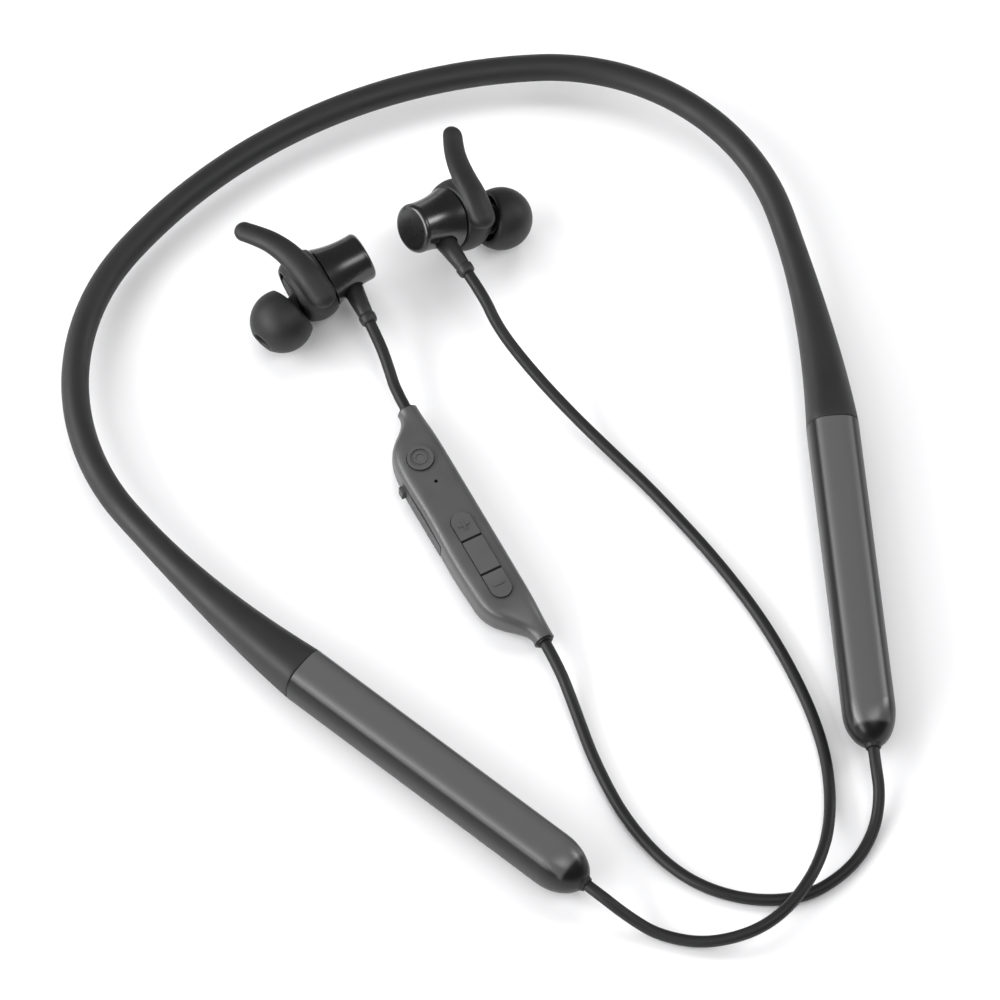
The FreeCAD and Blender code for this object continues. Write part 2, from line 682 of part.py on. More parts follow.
def port_flap():
    """Rubber cover of the charging port, a strip with a pull tab, hinged at its lower end."""
    low, face = size("flap_low_y"), -size("remote_width") / 2
    bottom = size("remote_split") - size("flap_height") / 2
    strip = Part.makeBox(size("flap_thickness"), size("flap_length"), size("flap_height"),
                         Vector(face - size("flap_proud"), low, bottom))
    tab = Part.makeBox(0.9, size("tab_length"), size("flap_height") - 1.2,
                       Vector(face - size("flap_proud") - 0.8, low + size("flap_length") - size("tab_length"),
                              bottom + 0.6))
    node(shaped("port_flap", strip.fuse(tab).removeSplitter()), "port_flap").Placement = REMOTE


# --- earbuds -------------------------------------------------------------------------------------

BUDS = {
    "left": Placement(Vector(-5.6, 49.4, 9.25), Rotation(182.1, 7.2, -10.6)),
    "right": Placement(Vector(3.2, 47.5, 14.5), Rotation(5.9, 23.6, 7.0)),
}


def relief_direction(hand):
    """Which way a bud's cable leaves it, in the bud's frame."""
    return Vector(0.08, -hand, 0).normalize()


def bud(name, hand):
    """One earbud. Local X runs from the magnetic rear face to the front; hand mirrors local Y."""
    frame = BUDS[name]
    relief_way = relief_direction(hand)
    nozzle = at(frame, size("nozzle_root"), -hand * size("nozzle_offset"), 0,
                turn(Z_AXIS, -hand * size("nozzle_tilt")))

    barrel = turned(name + "_barrel_blank", [
        ("0", "0"),
        ("0", "dims.barrel_face_radius", "dims.barrel_rim_width * 1.1", 1),
        ("dims.barrel_rim_width", "dims.barrel_rim_radius", "dims.barrel_waist_radius", -1),
        ("dims.barrel_length", "dims.barrel_front_radius"),
        ("dims.barrel_length", "dims.barrel_front_radius - dims.barrel_wall"),
        ("1.2", "dims.barrel_rim_radius - dims.barrel_wall"),
        ("1.2", "0"),
    ], frame)
    relief_frame = at(frame, size("relief_position"), 0, 0,
                      Rotation(X_AXIS, relief_way))
    hole = primitive("Cylinder", name + "_relief_hole", at(relief_frame, 2.0, 0, 0, turn(Y_AXIS, 90)),
                     Radius="dims.relief_radius + dims.fit_gap", Height="12")
    housing = doc.addObject("Part::Cut", name + "_barrel")
    housing.Base, housing.Tool = barrel, hole
    node(housing, name + "_rear_housing")

    magnet = primitive("Cylinder", name + "_magnet", at(frame, 1.3, 0, 0, turn(Y_AXIS, 90)),
                       Radius="dims.magnet_radius", Height="dims.magnet_thickness")
    node(magnet, name + "_rear_magnet")

    node(turned(name + "_strain_relief", [
        ("dims.relief_root", "dims.cable_radius + dims.fit_gap"),
        ("dims.relief_root", "dims.relief_radius"),
        ("dims.relief_end - dims.relief_collar_length", "dims.relief_end_radius"),
        ("dims.relief_end - dims.relief_collar_length + 0.3", "dims.relief_collar_radius"),
        ("dims.relief_end", "dims.relief_collar_radius - 0.2"),
        ("dims.relief_end", "dims.cable_radius + dims.fit_gap"),
    ], relief_frame), name + "_strain_relief")

    shell = turned(name + "_front_blank", [
        ("dims.front_start", "0"),
        ("dims.front_start", "dims.front_radius"),
        ("dims.front_shoulder", "dims.front_radius", "8", 1),
        ("dims.front_end", "dims.front_radius - 1.6"),
        ("dims.front_end", "0"),
    ], frame)
    tube = primitive("Cylinder", name + "_nozzle_tube", at(nozzle, 0, 0, 0, turn(Y_AXIS, 90)),
                     Radius="dims.nozzle_radius", Height="dims.nozzle_length")
    solid = doc.addObject("Part::MultiFuse", name + "_front_solid")
    solid.Shapes = [shell, tube]
    cavity = turned(name + "_front_cavity", [
        ("dims.front_start - 1", "0"),
        ("dims.front_start - 1", "dims.front_radius - dims.front_wall"),
        ("dims.front_shoulder - 0.4", "dims.front_radius - dims.front_wall"),
        ("dims.front_end - 0.9", "dims.front_radius - 2.4"),
        ("dims.front_end - 0.9", "0"),
    ], frame)
    bore = primitive("Cylinder", name + "_nozzle_bore", at(nozzle, 0, 0, 0, turn(Y_AXIS, 90)),
                     Radius="dims.nozzle_bore", Height="dims.nozzle_length + 1")
    hollow = doc.addObject("Part::MultiFuse", name + "_front_hollow")
    hollow.Shapes = [cavity, bore]
    front = doc.addObject("Part::Cut", name + "_front")
    front.Base, front.Tool = solid, hollow
    node(front, name + "_front_housing")

    mesh = primitive("Cylinder", name + "_mesh",
                     at(nozzle, size("nozzle_length") - size("mesh_thickness") - 0.2, 0, 0, turn(Y_AXIS, 90)),
                     Radius="dims.nozzle_bore", Height="dims.mesh_thickness")
    node(mesh, name + "_nozzle_mesh")

    cup_floor = "dims.driver_start + dims.driver_chamfer"
    cup_bore = "dims.driver_radius - dims.driver_wall"
    node(turned(name + "_driver_frame", [
        ("dims.driver_start", "0"),
        ("dims.driver_start", "dims.driver_radius - 0.5"),
        (cup_floor, "dims.driver_radius"),
        ("dims.driver_start + dims.driver_depth", "dims.driver_radius"),
        ("dims.driver_start + dims.driver_depth", cup_bore),
        (cup_floor, cup_bore + " - 0.3"),
        (cup_floor, "0"),
    ], frame), name + "_driver_frame")
    node(turned(name + "_driver_magnet", [
        (cup_floor + " + 0.02", "0"),
        (cup_floor + " + 0.02", "dims.driver_magnet_radius"),
        (cup_floor + " + dims.driver_magnet_thickness", "dims.driver_magnet_radius"),
        (cup_floor + " + dims.driver_magnet_thickness", "0"),
    ], frame), name + "_driver_magnet")
    dome, edge, film = "dims.driver_start + 2", "dims.driver_start + 2.4", " + 0.15"
    node(turned(name + "_diaphragm", [
        (edge, "0"), (dome, "2"), (edge, cup_bore + " - 0.05"),
        (edge + film, cup_bore + " - 0.05"), (dome + film, "2"), (edge + film, "0"),
    ], frame), name + "_diaphragm")

    ring = turned(name + "_wing_ring", [
        ("dims.wing_start", "dims.front_radius + dims.fit_gap"),
        ("dims.wing_start", "dims.wing_rear_radius", "dims.wing_bulge_radius", 1),
        ("dims.wing_end", "dims.wing_front_radius"),
        ("dims.wing_end", "dims.front_radius - 0.45"),
        ("dims.front_shoulder + 0.3", "dims.front_radius + dims.fit_gap"),
    ], frame)
    doc.recompute()
    horn = rounded_rod([Vector(11.7, hand * -3.7, 5.6), Vector(12.1, hand * -0.4, 6.5),
                        Vector(12.6, hand * 3.5, 6.1), Vector(13.6, hand * 7.3, 5.6),
                        Vector(15.3, hand * 11.0, 4.9), Vector(17.4, hand * 13.9, 3.9),
                        Vector(18.0, hand * 14.7, 2.2)],
                       size("wing_horn_radius"))
    horn.Placement = frame
    keep_out = Part.makeCylinder(size("front_radius") + size("fit_gap"), 12.0, Vector(6.0, 0, 0), X_AXIS)
    keep_out.Placement = frame
    wing = ring.Shape.fuse(horn.cut(keep_out)).removeSplitter()
    node(shaped(name + "_ear_wing", wing), name + "_ear_wing")

    tip_back = "(dims.tip_centre - sqrt(dims.tip_radius ^ 2 - dims.tip_rear_radius ^ 2))"
    tip_front = "(dims.tip_centre + sqrt(dims.tip_radius ^ 2 - dims.tip_front_radius ^ 2))"
    node(turned(name + "_eartip", [
        (tip_back, "dims.tip_rear_radius - dims.tip_skirt_wall"),
        (tip_back, "dims.tip_rear_radius", "dims.tip_radius", 1),
        (tip_front, "dims.tip_front_radius"),
        (tip_front, "dims.tip_bore"),
        ("dims.nozzle_length + 0.1", "dims.tip_bore"),
        ("dims.nozzle_length + 0.1", "dims.nozzle_radius + dims.fit_gap"),
        (tip_back + " + 0.6", "dims.nozzle_radius + dims.fit_gap"),
        (tip_back + " + 0.6", "dims.tip_stem_radius"),
        (tip_back + " + dims.tip_skirt_depth", "dims.tip_stem_radius"),
        (tip_back + " + dims.tip_skirt_depth", "dims.tip_rear_radius - 0.6"),
    ], nozzle), name + "_eartip")


# --- cables --------------------------------------------------------------------------------------

def route(points):
    """Straight runs joined by the largest tangent arcs that their lengths allow."""
    edges, radii, cursor = [], [], points[0]
    for before, corner, after in zip(points, points[1:], points[2:]):
        inward, outward = before - corner, after - corner
        run = min(inward.Length, outward.Length)
        turn_angle = math.pi - inward.getAngle(outward)
        reach = 0.45 * run
        radius = reach / math.tan(turn_angle / 2)
        radii.append(radius)
        start = corner + inward.normalize() * reach
        end = corner + outward.normalize() * reach
        bisector = (inward + outward).normalize()
        middle = corner + bisector * (math.hypot(radius, reach) - radius)
        edges += [Part.LineSegment(cursor, start).toShape(), Part.Arc(start, middle, end).toShape()]
        cursor = end
    edges.append(Part.LineSegment(cursor, points[-1]).toShape())
    return Part.Wire(edges), radii


def tube(points, radius):
    wire, radii = route(points)
    section = Part.Wire(Part.Circle(points[0], points[1] - points[0], radius).toShape())
    return wire.makePipeShell([section], True, True), wire.Length, radii


def rounded_rod(points, radius):
    """A tube with ball ends."""
    rod = tube(points, radius)[0]
    for end in (points[0], points[-1]):
        rod = rod.fuse(Part.makeSphere(radius, end))
    return rod


def cable(label, points):
    shape, length, radii = tube(points, size("cable_radius"))
    expected = math.pi * size("cable_radius") ** 2 * length
    print(f"{label}: {length:.1f} mm, volume ratio {shape.Volume / expected:.4f},",
          "bend radii", " ".join(f"{r:.1f}" for r in radii))
    node(shaped(label, shape), label)


def inside(frame, x, y=0.0, z=0.0):
    """A point of a local frame, in the object's own."""
    return frame.multVec(Vector(x, y, z))


def relief_exit(name, hand, reach):
    """A point on the axis of a bud's strain relief, this far from the bud's own axis."""
    way = relief_direction(hand)
    return BUDS[name].multVec(Vector(size("relief_position"), 0, 0) + way * reach)


LIE = size("cable_radius") + 0.05
OVER = 4.8


def cables():
    """The two cables: left pod to right bud, and right pod to remote to left bud."""
    length = size("pod_length")
    left_end, right_end = pod_frame(-1), pod_frame(1)
    cable("cable_left_pod", [
        inside(left_end, length - 3.5), inside(left_end, length + 3.0),
        Vector(-25.8, -91.2, 3.0), Vector(-21.9, -97.0, LIE), Vector(-14.4, -103.1, LIE + 0.6),
        Vector(-3.4, -105.9, OVER), Vector(8.6, -100.4, OVER), Vector(17.9, -90.0, LIE + 0.3),
        Vector(24.0, -75.4, LIE), Vector(26.0, -55.5, LIE), Vector(24.7, -37.0, LIE),
        Vector(20.7, -16.5, LIE), Vector(17.7, -6.0, 1.5), Vector(14.4, 4.8, 2.9), Vector(11.5, 15.0, 5.3),
        Vector(9.5, 24.5, 8.0), relief_exit("right", 1, size("relief_end") + 4.6),
        relief_exit("right", 1, size("relief_end") - 4.5),
    ])
    collar = Vector(size("collar_x"), size("remote_length") / 2, size("collar_height"))
    upper = REMOTE.multVec(collar)
    lower = REMOTE.multVec(Vector(collar.x, -collar.y, collar.z))
    cable("cable_right_pod", [
        inside(right_end, length - 3.5), inside(right_end, length + 3.0),
        Vector(26.9, -91.5, 2.8), Vector(22.4, -97.2, LIE), Vector(15.0, -101.5, LIE),
        Vector(4.7, -102.6, LIE), Vector(-5.5, -97.5, LIE), Vector(-13.0, -88.3, LIE),
        Vector(-16.3, -75.0, LIE), Vector(-15.8, -61.0, LIE), Vector(-13.7, -49.0, LIE + 0.3),
        lower - Y_AXIS * 5.2, lower + Y_AXIS * 4.0,
    ])
    cable("cable_left_bud", [
        upper - Y_AXIS * 5.2, upper + Y_AXIS * 4.2, Vector(-11.7, 28.2, 4.7),
        relief_exit("left", -1, size("relief_end") + 3.4), relief_exit("left", -1, size("relief_root") + 0.4),
    ])


neckband()
for side, name in ((-1, "left"), (1, "right")):
    pod(side, name)
battery()
electronics()
remote_housing()
remote_keys()
remote_inside()
port_flap()
for name, hand in (("left", -1), ("right", 1)):
    bud(name, hand)
cables()

doc.recompute()
for obj in doc.Objects:
    if "Invalid" in obj.State or "Error" in obj.State:
        raise RuntimeError(f"{obj.Label} did not build: {obj.State}")
os.makedirs("parts", exist_ok=True)
for obj in NODES:
    if obj.Shape.isNull() or not obj.Shape.isValid():
        raise RuntimeError(f"{obj.Label} has no valid shape")
    obj.Shape.exportStep(f"parts/{obj.Label}.step")
print(len(NODES), "sub-parts")
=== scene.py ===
import math

import bmesh
import bpy
from mathutils import Matrix, Quaternion, Vector


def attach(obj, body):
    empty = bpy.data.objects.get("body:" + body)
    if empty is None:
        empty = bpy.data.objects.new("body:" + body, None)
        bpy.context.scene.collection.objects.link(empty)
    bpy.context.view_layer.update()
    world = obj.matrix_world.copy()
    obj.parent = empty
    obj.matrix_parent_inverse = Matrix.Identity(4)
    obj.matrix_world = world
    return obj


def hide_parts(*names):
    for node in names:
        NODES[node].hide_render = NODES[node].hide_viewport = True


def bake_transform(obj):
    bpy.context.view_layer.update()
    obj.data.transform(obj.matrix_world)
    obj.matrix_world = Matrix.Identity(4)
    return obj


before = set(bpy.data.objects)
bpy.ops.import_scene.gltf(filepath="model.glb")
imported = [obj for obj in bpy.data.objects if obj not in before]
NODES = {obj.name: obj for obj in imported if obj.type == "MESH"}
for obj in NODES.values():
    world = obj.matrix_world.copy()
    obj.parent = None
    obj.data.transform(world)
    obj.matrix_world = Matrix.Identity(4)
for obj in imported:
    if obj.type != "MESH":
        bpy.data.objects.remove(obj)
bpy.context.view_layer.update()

MM = 0.001
ROOT = "neckband"

# The object's sizes, in mm. The neckband's centre line is three arcs on each side, each a radius and
# a turn in degrees.
ARCS = ((106.0, 24.4), (45.0, 76.8), (233.0, 11.6))
BACK_Y = 82.1
BAND_HEIGHT = 5.3
BAND_RADIUS = 2.6
POD_HALF_WIDTH, POD_HALF_HEIGHT, POD_POWER = 4.9, 5.25, 2.7
FLARE = 42.0
SEAM_GAP = 0.1
SLEEVE_END = sum(radius * math.radians(turn) for radius, turn in ARCS) - SEAM_GAP
POD_LENGTH = 66.4
CABLE_RADIUS = 1.1
LIE = 1.15                    # height of a cable's centre line where it lies on the floor
OVER = 4.8                    # and where it passes over the other cable
GLAND_START, GLAND_END = 62.9, 69.4      # along a pod, from its seam

# The earbuds, along each bud's axis from its rear face, and outward from that axis.
RELIEF_POSITION, RELIEF_LEAN = 5.0, 0.08
RELIEF_ROOT, RELIEF_END = 3.4, 12.2
NOZZLE_ROOT, NOZZLE_OFFSET, NOZZLE_TILT = 13.0, 1.2, 17.0
WING_START, WING_END = 9.2, 15.9
WING_REAR, WING_FRONT, WING_BULGE, WING_BORE = 6.2, 5.3, 5.4, 5.15
HORN = ((11.7, -4.2, 5.6), (12.1, -0.4, 6.5), (12.6, 3.5, 6.1), (13.6, 7.3, 5.6), (15.3, 11.0, 4.9),
        (17.8, 14.3, 3.9))
HORN_HALF_WIDTHS = (2.65, 1.95)      # at the root and near the tip
HORN_FLATNESS = 0.72                 # thickness over width
GROWN_VOXEL = 0.22                   # grid size where ring and horn grow together
TIP_CENTRE, TIP_RADIUS = 7.4, 6.0
TIP_REACH_REAR, TIP_REACH_FRONT = 2.95, 5.3      # how far the dome goes from its centre


# --- geometry helpers ----------------------------------------------------------------------------

def placement(x, y, z, yaw=0.0, pitch=0.0, roll=0.0):
    """A frame placed in millimetres and turned by yaw, pitch and roll in degrees."""
    turned = (Matrix.Rotation(math.radians(yaw), 4, "Z") @ Matrix.Rotation(math.radians(pitch), 4, "Y")
              @ Matrix.Rotation(math.radians(roll), 4, "X"))
    return Matrix.Translation(Vector((x, y, z)) * MM) @ turned


def mesh_object(name, vertices, faces, place=None):
    """A smooth-shaded mesh from points in millimetres, put where the frame says."""
    mesh = bpy.data.meshes.new(name)
    mesh.from_pydata([Vector(v) * MM for v in vertices], [], faces)
    if place:
        mesh.transform(place)
    mesh.validate()
    work = bmesh.new()
    work.from_mesh(mesh)
    bmesh.ops.recalc_face_normals(work, faces=work.faces)
    work.to_mesh(mesh)
    work.free()
    for polygon in mesh.polygons:
        polygon.use_smooth = True
    obj = bpy.data.objects.new(name, mesh)
    bpy.context.scene.collection.objects.link(obj)
    return obj


def skin_rings(rings, closed_ring=False, cap_start=False, cap_end=False):
    """Vertices and faces of quads between equal rings of points."""
    count = len(rings[0])
    vertices = [point for ring in rings for point in ring]
    faces = []
    spans = len(rings) if closed_ring else len(rings) - 1
    for i in range(spans):
        a, b = i * count, ((i + 1) % len(rings)) * count
        for j in range(count):
            k = (j + 1) % count
            faces.append((a + j, a + k, b + k, b + j))
    if cap_start:
        faces.append(tuple(range(count)))
    if cap_end:
        faces.append(tuple(range(len(vertices) - count, len(vertices))))
    return vertices, faces


def arc_between(start, end, radius, steps=12):
    """Points of the outward arc of this radius between two (along, radius) points, both ends in."""
    a, b = Vector(start), Vector(end)
    half = (b - a) / 2
    normal = Vector((-half.y, half.x)).normalized()
    centre = a + half - normal * math.sqrt(max(radius ** 2 - half.length_squared, 0))
    low = math.atan2(a.y - centre.y, a.x - centre.x)
    high = math.atan2(b.y - centre.y, b.x - centre.x)
    return [(centre.x + radius * math.cos(low + (high - low) * i / steps),
             centre.y + radius * math.sin(low + (high - low) * i / steps)) for i in range(steps + 1)]


def lathe(name, profile, place, segments=64):
    """A closed profile of (along, radius) points turned about local X."""
    rings = [[(x, r * math.cos(2 * math.pi * i / segments), r * math.sin(2 * math.pi * i / segments))
              for i in range(segments)] for x, r in profile]
    vertices, faces = skin_rings(rings, closed_ring=True)
    return mesh_object(name, vertices, faces, place)


def sweep_rings(points, section):
    """Rings of a section carried along points, turned as little as possible from one to the next.
    section(i) gives (across, upward) pairs."""
    count = len(points)
    tangents = [(points[min(i + 1, count - 1)] - points[max(i - 1, 0)]).normalized() for i in range(count)]
    side = tangents[0].cross(Vector((0, 0, 1))).normalized()
    rings = []
    for i, (point, tangent) in enumerate(zip(points, tangents)):
        side = (side - tangent * side.dot(tangent)).normalized()
        up = side.cross(tangent)
        rings.append([point + side * a + up * u for a, u in section(i)])
    return rings


def circle(radius, segments=24, flat=1.0):
    """(across, upward) points of a circle, or of an ellipse when flat is below 1."""
    return [(radius * math.cos(2 * math.pi * i / segments),
             flat * radius * math.sin(2 * math.pi * i / segments)) for i in range(segments)]


def spline_object(name, route):
    """The cord's centre line: one open NURBS spline with the route's points, in millimetres."""
    curve = bpy.data.curves.new(name, "CURVE")
    curve.dimensions = "3D"
    spline = curve.splines.new("NURBS")
    spline.points.add(len(route) - 1)
    for point, place in zip(spline.points, route):
        point.co = (*(Vector(place) * MM), 1.0)
    spline.order_u = 3
    spline.use_endpoint_u = True
    spline.resolution_u = 12
    obj = bpy.data.objects.new(name, curve)
    bpy.context.scene.collection.objects.link(obj)
    return obj


def spline_points(route):
    """Points along the route's smooth line, in millimetres."""
    line = spline_object("route_line", route)
    bpy.context.view_layer.update()
    mesh = bpy.data.meshes.new_from_object(line)
    points = [v.co / MM for v in mesh.vertices]
    bpy.data.objects.remove(line)
    bpy.data.meshes.remove(mesh)
    return points


def apply_modifiers(obj):
    """The mesh as its modifiers leave it."""
    bpy.context.view_layer.update()
    evaluated = obj.evaluated_get(bpy.context.evaluated_depsgraph_get())
    mesh = bpy.data.meshes.new_from_object(evaluated)
    obj.modifiers.clear()
    obj.data = mesh
    for polygon in mesh.polygons:
        polygon.use_smooth = True
    return obj


# --- the frames of the CAD's sub-assemblies --------------------------------------------------------

def neck(distance, side):
    """Point and heading on the neckband's centre line, this far from the back, in mm."""
    point, heading = Vector((0, BACK_Y)), 0.0
    for radius, turn in ARCS:
        step = max(min(distance, radius * math.radians(turn)), 0.0) / radius
        centre = point + Vector((math.sin(heading), -math.cos(heading))) * radius
        heading -= step
        point = centre - Vector((math.sin(heading), -math.cos(heading))) * radius
        distance -= radius * step
    return (Vector((side * point.x, point.y, BAND_HEIGHT)),
            Vector((side * math.cos(heading), math.sin(heading), 0)))


BUDS = {"left": placement(-5.6, 49.4, 9.25, 182.1, 7.2, -10.6),
        "right": placement(3.2, 47.5, 14.5, 5.9, 23.6, 7.0)}


def relief_frame(name, hand):
    """Frame of a bud's strain relief: local X runs out along the cable."""
    way = Vector((RELIEF_LEAN, -hand, 0)).normalized()
    across = Matrix.Rotation(math.atan2(way.y, way.x), 4, "Z")
    return BUDS[name] @ Matrix.Translation(Vector((RELIEF_POSITION, 0, 0)) * MM) @ across


def relief_exit(name, hand, reach):
    """A point on the axis of a bud's strain relief, this far along it, in millimetres."""
    return relief_frame(name, hand) @ (Vector((reach, 0, 0)) * MM) / MM


def pod_point(side, along):
    """A point on a pod's axis, this far from its seam, in millimetres."""
    point, heading = neck(SLEEVE_END + SEAM_GAP, side)
    return point + heading * along


# --- finishes ------------------------------------------------------------------------------------

def finish(name, colour, roughness, metallic=0.0, grain=0.18, depth=0.02, patches=6.0, vary=0.12,
           specular=0.5):
    """A procedural finish. grain and patches are sizes in mm, depth the grain's height in mm, vary how
    much the patches change roughness and colour."""
    made = bpy.data.materials.new(name)
    made.use_nodes = True
    nodes, links = made.node_tree.nodes, made.node_tree.links
    shader = nodes["Principled BSDF"]
    shader.inputs["Metallic"].default_value = metallic
    shader.inputs["Specular IOR Level"].default_value = specular
    where = nodes.new("ShaderNodeTexCoord")

    fine = nodes.new("ShaderNodeTexNoise")
    fine.inputs["Scale"].default_value = 1 / (grain * MM)
    fine.inputs["Detail"].default_value = 3.0
    links.new(where.outputs["Object"], fine.inputs["Vector"])
    bump = nodes.new("ShaderNodeBump")
    bump.inputs["Strength"].default_value = 0.6
    bump.inputs["Distance"].default_value = depth * MM
    links.new(fine.outputs["Fac"], bump.inputs["Height"])
    links.new(bump.outputs["Normal"], shader.inputs["Normal"])

    broad = nodes.new("ShaderNodeTexNoise")
    broad.inputs["Scale"].default_value = 1 / (patches * MM)
    broad.inputs["Detail"].default_value = 4.0
    links.new(where.outputs["Object"], broad.inputs["Vector"])
    rough = nodes.new("ShaderNodeMapRange")
    rough.inputs["From Min"].default_value, rough.inputs["From Max"].default_value = 0.3, 0.7
    rough.inputs["To Min"].default_value = roughness * (1 - vary)
    rough.inputs["To Max"].default_value = min(roughness * (1 + vary), 1.0)
    links.new(broad.outputs["Fac"], rough.inputs["Value"])
    links.new(rough.outputs["Result"], shader.inputs["Roughness"])
    tint = nodes.new("ShaderNodeMix")
    tint.data_type = "RGBA"
    tint.inputs["A"].default_value = (*[c * (1 - vary) for c in colour], 1)
    tint.inputs["B"].default_value = (*[min(c * (1 + vary), 1) for c in colour], 1)
    links.new(broad.outputs["Fac"], tint.inputs["Factor"])
    links.new(tint.outputs["Result"], shader.inputs["Base Color"])
    return made


def paint(obj, made):
    """Gives a piece its finish."""
    obj.data.materials.clear()
    obj.data.materials.append(made)
    return obj


# Painted light and shade on the pods: the near-black side colour is painted shade, and the lighter top face
# colour is partly a metal plate and partly painted light.
POD_SHADED_SIDE, POD_LIT_FACE = (0.004, 0.004, 0.0042), (0.108, 0.108, 0.110)
FACE_METAL = 0.35                    # how metallic the face is
FACE_BLUR = 0.3                      # half the width in which face turns to side, in mm
FACE_HALF, FACE_END = 3.35, 3.2      # the metal face's half width, and how far it stops from the tip, in mm


def pod_finish_painted_shade(name, side):
    """Near-black sides, underside and tip round a lighter, partly metallic top face, told apart in the pod's
    own frame. The top face is partly a metal top plate and partly painted light; the near-black sides and
    underside are painted shade.
    """
    made = finish(name, POD_SHADED_SIDE, 0.33, grain=0.16, depth=0.002, patches=14.0, vary=0.04, specular=0.38)
    nodes, links = made.node_tree.nodes, made.node_tree.links
    shader = nodes["Principled BSDF"]
    start, heading = neck(SLEEVE_END + SEAM_GAP, side)
    where = nodes.new("ShaderNodeTexCoord")
    local = nodes.new("ShaderNodeMapping")
    local.vector_type = "TEXTURE"
    local.inputs["Location"].default_value = start * MM
    local.inputs["Rotation"].default_value = (0, 0, math.atan2(heading.y, heading.x))
    links.new(where.outputs["Object"], local.inputs["Vector"])
    split = nodes.new("ShaderNodeSeparateXYZ")
    links.new(local.outputs["Vector"], split.inputs["Vector"])
    across = nodes.new("ShaderNodeMath")
    across.operation = "ABSOLUTE"
    links.new(split.outputs["Y"], across.inputs[0])
    # The mask is 1 on the top face, which is painted lighter, and 0 on the sides, underside and tip, which
    # are painted shade.
    shares = []
    face_end = POD_LENGTH - FACE_END
    for source, inner, outer in ((across.outputs[0], FACE_HALF - FACE_BLUR, FACE_HALF + FACE_BLUR),
                                 (split.outputs["X"], face_end - 2 * FACE_BLUR, face_end + FACE_BLUR),
                                 (split.outputs["Z"], 0.5, 0.0)):
        share = nodes.new("ShaderNodeMapRange")
        share.interpolation_type = "SMOOTHSTEP"
        share.inputs["From Min"].default_value = inner * MM
        share.inputs["From Max"].default_value = outer * MM
        share.inputs["To Min"].default_value, share.inputs["To Max"].default_value = 1.0, 0.0
        links.new(source, share.inputs["Value"])
        shares.append(share.outputs["Result"])
    face = shares[0]
    for share in shares[1:]:
        product = nodes.new("ShaderNodeMath")
        product.operation = "MULTIPLY"
        links.new(face, product.inputs[0])
        links.new(share, product.inputs[1])
        face = product.outputs[0]
    tint = nodes.new("ShaderNodeMix")
    tint.data_type = "RGBA"
    links.new(face, tint.inputs["Factor"])
    links.new(shader.inputs["Base Color"].links[0].from_socket, tint.inputs["A"])
    tint.inputs["B"].default_value = (*POD_LIT_FACE, 1)
    links.new(tint.outputs["Result"], shader.inputs["Base Color"])
    metal = nodes.new("ShaderNodeMath")
    metal.operation = "MULTIPLY"
    metal.inputs[1].default_value = FACE_METAL
    links.new(face, metal.inputs[0])
    links.new(metal.outputs[0], shader.inputs["Metallic"])
    return made


BAND = finish("band_silicone", (0.011, 0.011, 0.0114), 0.56, grain=0.12, depth=0.012, specular=0.52)
POD_LEFT = pod_finish_painted_shade("pod_metal_painted_shade_left", -1)
POD_RIGHT = pod_finish_painted_shade("pod_metal_painted_shade_right", 1)
JACKET = finish("cable_jacket", (0.008, 0.008, 0.0084), 0.50, grain=0.10, depth=0.010, specular=0.40)
REMOTE_SHELL = finish("remote_plastic", (0.053, 0.053, 0.0545), 0.42, grain=0.10, depth=0.010, specular=0.80)
KEY = finish("key_plastic", (0.060, 0.060, 0.0615), 0.42, grain=0.10, depth=0.008, specular=0.80)
FLAP = finish("flap_rubber", (0.045, 0.045, 0.046), 0.55, grain=0.10, depth=0.010, specular=0.60)
GLOSS = finish("bud_gloss", (0.005, 0.005, 0.0053), 0.27, grain=2.5, depth=0.003, patches=8.0, vary=0.10,
               specular=0.95)
BUD_SATIN = finish("bud_plastic", (0.014, 0.014, 0.0145), 0.60, grain=0.12, depth=0.008, specular=0.25)
SOFT = finish("soft_silicone", (0.010, 0.010, 0.0104), 0.55, grain=0.14, depth=0.012, specular=0.48)
RELIEF = finish("relief_rubber", (0.014, 0.014, 0.0145), 0.50, grain=0.10, depth=0.010, specular=0.50)
CARRIER = finish("carrier_plastic", (0.03, 0.03, 0.03), 0.55)
STEEL = finish("steel", (0.55, 0.55, 0.56), 0.30, metallic=1.0, grain=0.2, depth=0.004)
NICKEL = finish("magnet_nickel", (0.60, 0.58, 0.55), 0.22, metallic=1.0, grain=0.4, depth=0.003)
BOARD = finish("circuit_board", (0.012, 0.10, 0.035), 0.42, grain=0.3)
CHIP = finish("chip_black", (0.015, 0.015, 0.015), 0.55, grain=0.08)
FOIL = finish("cell_foil", (0.62, 0.62, 0.65), 0.34, metallic=1.0, grain=0.7, depth=0.05)
FOAM = finish("foam", (0.04, 0.04, 0.04), 0.92, grain=0.25, depth=0.12)
FILM = finish("diaphragm_film", (0.55, 0.45, 0.25), 0.30, grain=0.6)
WIRES = finish("harness_jacket", (0.22, 0.02, 0.015), 0.5)


# --- camera --------------------------------------------------------------------------------------

AZIMUTH, ELEVATION, ROLL = (math.radians(angle) for angle in (-30.0, 62.0, 2.2))
BACK = Vector((math.sin(AZIMUTH) * math.cos(ELEVATION), -math.cos(AZIMUTH) * math.cos(ELEVATION),
               math.sin(ELEVATION)))
TARGET = Vector((-5.0, -3.9, -0.8)) * MM
DISTANCE = 1.44
SEEN_WIDTH = 0.1865         # metres across the picture at the target

